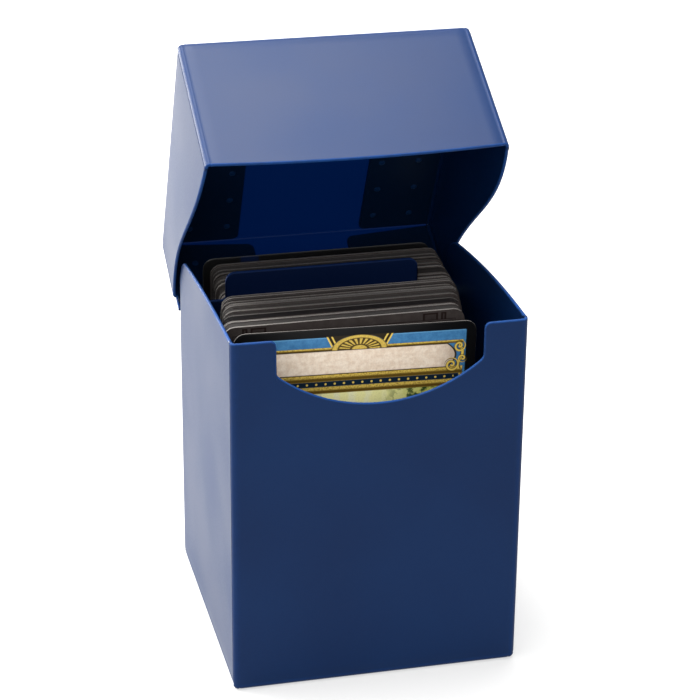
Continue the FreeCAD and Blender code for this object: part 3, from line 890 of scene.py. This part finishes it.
def corner_line(corner, arrive, leave, radius, count=6):
    """A rounded square corner: a quarter circle between its two tangent points."""
    corner, arrive, leave = (np.array(v, float) for v in (corner, arrive, leave))
    reach = radius * (1 - math.sqrt(0.5))
    middle = corner - reach * arrive + reach * leave
    return arc_through(corner - radius * arrive, middle, corner + radius * leave, count)


def card_grid():
    """A card's outline as a flat pattern: columns from the lower edge to the upper one, both with
    quarter-circle corners."""
    r, w, h = CARD_CORNER, CARD_HALF, CARD_HEIGHT
    top = chain(
        corner_line((-w, h), (0, 1), (1, 0), r),
        straight((-w + r, h), (w - r, h), CARD_STEPS),
        corner_line((w, h), (1, 0), (0, -1), r),
    )
    foot = top.copy()
    foot[:, 1] = h - top[:, 1]
    return between(foot, top, near_ends(0, 1, CARD_STEPS, 0.006))


def flat_sheet(pattern, front_y, thickness, rounding):
    """A flat pattern stood upright at a depth, facing the front."""
    outer = np.stack(
        [pattern[..., 0], np.full(pattern.shape[:2], float(front_y)), pattern[..., 1]], -1
    )
    normal = np.broadcast_to(-Y, outer.shape)
    return walled(outer, normal, (1, 1, 1, 1), None, thickness, rounding)


def divider_sheet():
    """Divider: a card-wide sheet whose upper edge steps up to a broad tab."""
    half, low, corner = DIVIDER_HALF, CARD_BASE, DIVIDER_CORNER
    up, ahead, down = (0, 1), (1, 0), (0, -1)
    left = chain(
        corner_line((-half, DIVIDER_SHOULDER), up, ahead, corner),
        corner_line((-DIVIDER_TAB, DIVIDER_SHOULDER), ahead, up, 1.0),
        corner_line((-DIVIDER_TAB, DIVIDER_TOP), up, ahead, 2.5, 8),
    )
    right = left[::-1] * np.array([-1, 1])
    top = chain(left, straight(left[-1], right[0], 16), right)
    length = run_length(top)
    bottom = chain(
        corner_line((-half, low), down, ahead, corner, 9),
        straight((-half + corner, low), (half - corner, low), 60),
        corner_line((half, low), ahead, up, corner, 9),
    )
    span = run_length(bottom)
    share = length / length[-1] * span[-1]
    foot = np.stack([np.interp(share, span, bottom[:, k]) for k in (0, 1)], -1)
    pattern = between(foot, top, level_shares(24, 90))
    pattern[..., 0] += DIVIDER_MIDDLE
    return flat_sheet(pattern, DIVIDER_FRONT, SHEET, 0.22)


def card_place(node):
    """Middle, front, rear and rise above the deck's base of a card node, in millimetres."""
    low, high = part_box(node)
    return (low.x + high.x) / 2 / MM, low.y / MM, high.y / MM, low.z / MM - CARD_BASE


def single_card(node, lean=0.0):
    """One card in its node's place, with its own printing coordinates, turned a little in its own
    plane."""
    middle_x, front_y, _, rise = card_place(node)
    points, faces, values = flat_sheet(card_grid(), 0, CARD_THICK, 0.05)
    flat = points.copy()
    c, s = math.cos(lean), math.sin(lean)
    mid = CARD_HEIGHT / 2
    points[:, 0] = middle_x + c * flat[:, 0] + s * (flat[:, 2] - mid)
    points[:, 2] = CARD_BASE + rise + mid - s * flat[:, 0] + c * (flat[:, 2] - mid)
    points[:, 1] += front_y
    side = np.where(values["inside"] < 0.01, 1.0, np.where(values["inside"] > 0.99, -1.0, 0.0))
    card = np.stack([flat[:, 0], CARD_HEIGHT - flat[:, 2], side], -1)
    return points, faces, {"card": card, "tone": np.full(len(points), CARD_EDGE_TONE)}


def card_bundle(seed, node, count, bands):
    """A bundle of thin cards side by side in its node's place. Each card is the same rounded
    outline, moved sideways and up by a slow random walk, and split in front face, rim and back face
    so that the rim keeps its own colour. Rim tones follow bands, pairs of depth and tone joined by
    straight lines, which paint shade and highlights over the edges, and pale cards stand a little
    higher. All cards are worked out at once as one array."""
    middle_x, start_y, end_y, rise = card_place(node)
    draw = np.random.default_rng(seed)
    r, w, h = CARD_CORNER, CARD_HALF, CARD_HEIGHT
    outline = chain(
        corner_line((-w, 0), (0, -1), (1, 0), r, 5),
        corner_line((w, 0), (1, 0), (0, 1), r, 5),
        corner_line((w, h), (0, 1), (-1, 0), r, 5),
        corner_line((-w, h), (-1, 0), (0, -1), r, 5),
    )
    k = len(outline)
    pitch = (end_y - start_y) / count
    shift = np.cumsum(draw.normal(0, SIDE_STEP, count))
    shift = np.clip(shift - shift.mean(), -STRAY_LIMIT, STRAY_LIMIT)
    front_y = start_y + pitch * np.arange(count)
    tone = np.interp(front_y + pitch / 2, *np.array(bands).T)
    lift = np.clip(np.abs(np.cumsum(draw.normal(0, RISE_STEP, count))), 0, STRAY_LIMIT)
    lift = rise + lift + np.where(tone > PALE_TONE, PALE_RISE, 0.0)
    tone = np.clip(tone * (1 + draw.normal(0, TONE_SPREAD, count)), 0, 1)
    thick = pitch * CARD_SHARE
    layers = []
    for side, depth in ((1, 0.0), (0, 0.0), (0, 1.0), (-1, 1.0)):
        layer = np.empty((count, k, 3))
        layer[..., 0] = middle_x + shift[:, None] + outline[None, :, 0]
        layer[..., 1] = (front_y + depth * thick)[:, None]
        layer[..., 2] = (CARD_BASE + lift)[:, None] + outline[None, :, 1]
        layers.append(layer)
    points = np.stack(layers, 1).reshape(-1, 3)
    base = (np.arange(count) * 4 * k)[:, None]
    ring = np.arange(k)
    rim = np.stack([ring + k, ring + 2 * k, np.roll(ring, -1) + 2 * k, np.roll(ring, -1) + k], -1)
    rims = (base[:, :, None] + rim[None]).reshape(-1, 4)
    fronts = base + ring[None]
    backs = base + 3 * k + ring[None, ::-1]
    faces = [row.tolist() for block in (rims, fronts, backs) for row in block]
    card = np.empty((count, 4, k, 3))
    card[..., 0] = outline[:, 0]
    card[..., 1] = h - outline[:, 1]
    card[..., 2] = np.array([1, 0, 0, -1])[None, :, None]
    tones = np.repeat(tone, 4 * k)
    return points, faces, {"card": card.reshape(-1, 3), "tone": tones}


def weld_domes(places, out):
    """Spot welds: each is a low dome with a dished middle, of height WELD_RISE x (1 - r^2) x (0.55 +
    1.2 r^2) at a share r of its radius, turned to face out."""
    rings, count = 6, 24
    side = np.cross(out, X)
    radius = np.concatenate([[0], np.repeat(np.linspace(0, 1, rings + 1)[1:], count)])
    turn = np.concatenate([[0], np.tile(np.linspace(0, 2 * math.pi, count + 1)[:-1], rings)])
    height = WELD_RISE * (1 - radius**2) * (0.55 + 1.2 * radius**2)
    around = np.cos(turn)[:, None] * X + np.sin(turn)[:, None] * side
    spot = WELD_RADIUS * radius[:, None] * around + height[:, None] * out
    step = np.arange(count)
    pairs = list(zip(step, np.roll(step, -1)))
    row_starts = 1 + count * np.arange(rings)
    centre = [[0, 1 + a, 1 + b] for a, b in pairs]
    bands = [
        [row + a, row + count + a, row + count + b, row + b]
        for row in row_starts[:-1] for a, b in pairs
    ]
    base = [[row_starts[-1] + a for a in step[::-1]]]
    single = centre + bands + base
    points = np.concatenate([spot + np.array(p, float) for p in places])
    faces = [[v + n * len(spot) for v in f] for n in range(len(places)) for f in single]
    return points, faces


# ---------- materials


GRAIN = sheet_grain()
HIGHLIGHT_AND_WEAR = cut_highlight_and_crease_wear()
PRINT = card_print()
BACK = card_back()

BASE, DEEP = (0.0006, 0.0106, 0.047, 1), (0.0009, 0.0137, 0.057, 1)
# Painted shade for the inner faces of the sheets
INNER_SHADE = (0.0003, 0.004, 0.017, 1)
# The first of these is a painted highlight for cut edges, the second the paler colour of creases
CUT_HIGHLIGHT, CREASE = (0.004, 0.032, 0.13, 1), (0.004, 0.028, 0.12, 1)

# The last colour of the box and lid sheets is a painted glow on their inner faces, stronger on the lid
blue_sheet = sheet_material(
    "blue sheet", BASE, DEEP, CUT_HIGHLIGHT, CREASE, (0, 0.0003, 0.0016, 1), 0.36
)
glowing_lid_sheet = sheet_material(
    "blue sheet of the lid with painted glow", BASE, DEEP, CUT_HIGHLIGHT, CREASE, (0, 0.0042, 0.034, 1), 0.36
)
# Tabs are painted darker than the sheet, as painted shade where two sheets let less light through;
# their third colour is a painted highlight for cut edges
shaded_tab_sheet = sheet_material(
    "blue sheet of the tabs, painted darker", (0.0006, 0.0065, 0.022, 1), (0.001, 0.008, 0.028, 1),
    (0.003, 0.02, 0.08, 1), CREASE, None, 0.4,
)
weld_sheet = sheet_material(
    "blue sheet at the welds", (0.002, 0.016, 0.055, 1), (0.003, 0.02, 0.07, 1), CUT_HIGHLIGHT, CREASE,
    None, 0.3,
)
# The divider's third colour is a painted highlight for its cut edges
divider_blue = sheet_material(
    "navy divider sheet", (0.0003, 0.0034, 0.0175, 1), (0.0004, 0.0042, 0.021, 1),
    (0.0008, 0.009, 0.045, 1), CREASE, None, 0.34, 0.07,
)
card_face = card_material(
    "printed card", "printed", (0.03, 0.028, 0.026, 1), (0.3, 0.28, 0.26, 1), 0.18
)
# The deck's edge colours run from near black to a dim grey: paper edges and black borders, painted
# down as shade
card_stack = card_material(
    "deck of cards", "plain", (0.0035, 0.0033, 0.004, 1), (0.25, 0.233, 0.218, 1), 0.06
)
dark_card = card_material("dark card", "dark", (0.03, 0.03, 0.03, 1), (0.06, 0.06, 0.06, 1))


# ---------- pieces


def both_sides(name, body, node, built, material):
    """The right piece and its mirror image on the left."""
    points, faces, values = built
    add_piece("right_" + name, body, "blue_sheet", ["right_" + node], material, points, faces, values)
    points, faces = mirrored(points, faces)
    add_piece("left_" + name, body, "blue_sheet", ["left_" + node], material, points, faces, values)


def lid_built(built):
    """A sheet drawn on the shut lid, turned to the lid's open place."""
    points, faces, values = built
    return opened(points), faces, values


add_piece(
    "front_wall", "box", "blue_sheet", ["front_panel", "left_front_lip", "right_front_lip"],
    blue_sheet, *front_wall(),
)
both_sides("side_wall", "box", "side_panel", side_wall(), blue_sheet)
add_piece(
    "back_wall", "box", "blue_sheet", ["back_panel"], blue_sheet,
    *plain_panel(-X, Z, HALF, BACK_WIDTH, (FOLD, BACK_TOP), "low"),
)
add_piece(
    "bottom_wall", "box", "blue_sheet", ["bottom_panel"], blue_sheet,
    *plain_panel(X, -Y, 0, BACK_WIDTH, (-HALF + FOLD, HALF - FOLD)),
)
add_piece(
    "lid_front_wall", "lid", "blue_sheet", ["lid_front_panel"], glowing_lid_sheet, *lid_built(lid_front_wall())
)
both_sides("lid_cheek_wall", "lid", "lid_cheek", lid_built(cheek_wall()), blue_sheet)
add_piece(
    "lid_top_wall", "lid", "blue_sheet", ["lid_top_panel"], glowing_lid_sheet,
    *lid_built(plain_panel(X, Y, LID_TOP, LID_WIDTH, (LID_PANEL_FRONT, HINGE_Y - FOLD))),
)
add_piece(
    "lid_back_wall", "lid", "blue_sheet", ["lid_back_panel"], glowing_lid_sheet,
    *lid_built(plain_panel(-X, Z, HINGE_Y, LID_WIDTH, (LID_BACK_LOW, LID_TOP - FOLD), "high")),
)
add_piece(
    "divider_sheet", "divider", "divider_sheet", ["divider"], divider_blue, *divider_sheet()
)
add_piece(
    "front_card_print", "front_card", "card_face", ["front_card"], card_face,
    *single_card("front_card", FRONT_CARD_LEAN),
)
add_piece(
    "rear_card_print", "rear_card", "dark_card", ["rear_card"], dark_card, *single_card("rear_card")
)

# Tones of the deck's edges: pairs of depth in millimetres and tone
# Painted shade and highlight: low tones stand in for shade between the bundles, high tones for lit
# edges, over the cards' own edge colours
FRONT_EDGE_SHADES_AND_TONES = (
    (-12.6, 0.95), (-12.05, 0.85), (-11.95, 0.2), (-8.95, 0.14), (-8.85, 0.8), (-8.0, 0.7),
    (-7.9, 0.02), (-4.7, 0.0), (-4.6, 0.6), (-3.8, 0.5), (-3.7, 0.08), (-2.3, 0.12), (-2.2, 0.55),
    (-1.4, 0.45), (-1.3, 0.12), (0.5, 0.2), (0.6, 0.7), (1.4, 0.5), (1.5, 0.24), (2.5, 0.3),
    (2.6, 1.0), (3.4, 0.9), (3.5, 0.03), (4.2, 0.03), (4.3, 0.85), (5.0, 0.7), (5.1, 0.05),
    (5.8, 0.05), (5.9, 0.95), (6.6, 0.8), (6.7, 0.02), (7.0, 0.02), (7.1, 1.0), (7.6, 1.0),
)
REAR_EDGE_SHADES_AND_TONES = (
    (8.5, 0.1), (9.2, 0.02), (9.4, 0.9), (10.2, 0.8), (10.3, 0.06), (11.6, 0.05), (11.8, 0.85),
    (12.6, 0.7), (12.7, 0.06), (15.8, 0.04), (16.0, 0.75), (16.8, 0.6), (16.9, 0.05), (19.6, 0.1),
    (19.8, 0.45), (20.8, 0.4), (20.9, 0.18), (22.6, 0.2), (22.8, 0.02), (23.2, 0.02), (23.4, 0.6),
    (24.2, 0.5), (24.3, 0.12), (25.8, 0.12), (26.0, 0.55), (26.8, 0.45), (26.9, 0.12), (29.2, 0.2),
    (29.6, 0.5), (30.6, 0.45),
)
DECKS = (("front_cards", 8, 11, FRONT_EDGE_SHADES_AND_TONES), ("rear_cards", 14, 31, REAR_EDGE_SHADES_AND_TONES))
for group, count, seed, bands in DECKS:
    bundles = sorted(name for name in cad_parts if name.startswith(group + "_"))
    for n, node in enumerate(bundles):
        built = card_bundle(seed + n, node, count, bands)
        add_piece(node + "_deck", group, "card_stack", [node], card_stack, *built, smooth=False)

# Spot welds: a low dome on every spot, placed in rows over the tabs they join
WELD_REAR = [(x, HALF - TWO_SHEETS, z) for x in (-30.0, 30.0) for z in (10, 24, 38, 52, 66)]
WELD_BOTTOM = [(x, y, TWO_SHEETS) for x in (-27.0, 27.0) for y in (-26, -13, 0, 13, 26)]
WELD_LID_TOP = [
    (x, 30.3 - 10.5 * n, LID_TOP - TWO_SHEETS) for x in (-31.2, -20.8, 20.8, 31.2) for n in range(6)
]
WELD_LID_BACK = [
    (x, HINGE_Y - TWO_SHEETS, z) for x in (-30.5, -18.5, 18.5, 30.5) for z in (81.5, 90.0)
]
for name, body, places, out in (
    ("rear_weld", "box", WELD_REAR, -Y),
    ("bottom_weld", "box", WELD_BOTTOM, Z),
    ("lid_top_weld", "lid", WELD_LID_TOP, -Z),
    ("lid_back_weld", "lid", WELD_LID_BACK, -Y),
):
    points, faces = weld_domes(places, out)
    if body == "lid":
        points = opened(points)
    plain = dict.fromkeys(("cut", "inside", "crease"), np.zeros(len(points)))
    add_piece(
        name + "_domes", body, "blue_sheet", [name + "_spots"], weld_sheet, points, faces, plain
    )

# The tabs and the living hinge stay as built
for name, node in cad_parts.items():
    if node.hide_render:
        continue
    node.data.materials.clear()
    node.data.materials.append(shaded_tab_sheet if "tab" in name else blue_sheet)


# ---------- floor, light and camera


def add_area(name, place, target, size, power, colour=(1, 1, 1)):
    """A rectangular softbox at a place, turned to its target."""
    lamp = bpy.data.lights.new(name, "AREA")
    lamp.shape = "RECTANGLE"
    lamp.size, lamp.size_y = size
    lamp.energy = power
    lamp.color = colour
    obj = add_object(name, lamp)
    way = Vector(target) - Vector(place)
    obj.location = place
    obj.rotation_euler = way.to_track_quat("-Z", "Y").to_euler()


floor_mesh = bpy.data.meshes.new("floor")
floor_mesh.from_pydata([(-6, -6, 0), (6, -6, 0), (6, 6, 0), (-6, 6, 0)], [], [(0, 1, 2, 3)])
floor = add_object("floor", floor_mesh)
floor_paint, _, _ = new_material(
    "pale floor",
    {
        "Base Color": (0.22, 0.22, 0.22, 1),
        "Roughness": 0.9,
        "Specular IOR Level": 0.1,
        "Emission Color": (1, 1, 1, 1),
        "Emission Strength": 0.55,
    },
)
floor_mesh.materials.append(floor_paint)

world = bpy.context.scene.world or bpy.data.worlds.new("studio")
bpy.context.scene.world = world
world.use_nodes = True
world.node_tree.nodes["Background"].inputs["Color"].default_value = (1, 1, 1, 1)
world.node_tree.nodes["Background"].inputs["Strength"].default_value = 1.0

add_area("overhead softbox", (-0.2, 0.25, 1.05), (0, 0.05, 0.1), (0.95, 0.9), 46.0)
add_area("front softbox", (-0.5, -1.3, 0.8), (0, 0, 0.08), (0.9, 0.9), 12.0)
add_area("rear left softbox", (-0.75, 1.0, 0.3), (0, 0, 0.06), (1.4, 0.8), 76.0, (1, 0.97, 0.89))
bpy.context.scene.view_settings.view_transform = "Standard"

# Camera, in metres and degrees: the view direction's two angles, the roll, the place and the lens
AZIMUTH, ELEVATION, ROLL = (math.radians(v) for v in (-13.701, 24.135, 0.624))
CAMERA_PLACE = (-0.1344, -0.556273, 0.332349)
FOCAL_LENGTH = 123.83
backward = Vector(
    (
        math.sin(AZIMUTH) * math.cos(ELEVATION),
        -math.cos(AZIMUTH) * math.cos(ELEVATION),
        math.sin(ELEVATION),
    )
)
level = Vector((0, 0, 1)).cross(backward).normalized()
upward = backward.cross(level)
right = level * math.cos(ROLL) + upward * math.sin(ROLL)
upward = upward * math.cos(ROLL) - level * math.sin(ROLL)
lens = bpy.data.cameras.new("camera")
lens.sensor_width = 36
lens.lens = FOCAL_LENGTH
lens.clip_start = 0.01
lens.clip_end = 50
camera = add_object("camera", lens)
turn = Matrix((right, upward, backward)).transposed().to_4x4()
camera.matrix_world = Matrix.Translation(CAMERA_PLACE) @ turn
bpy.context.scene.camera = camera
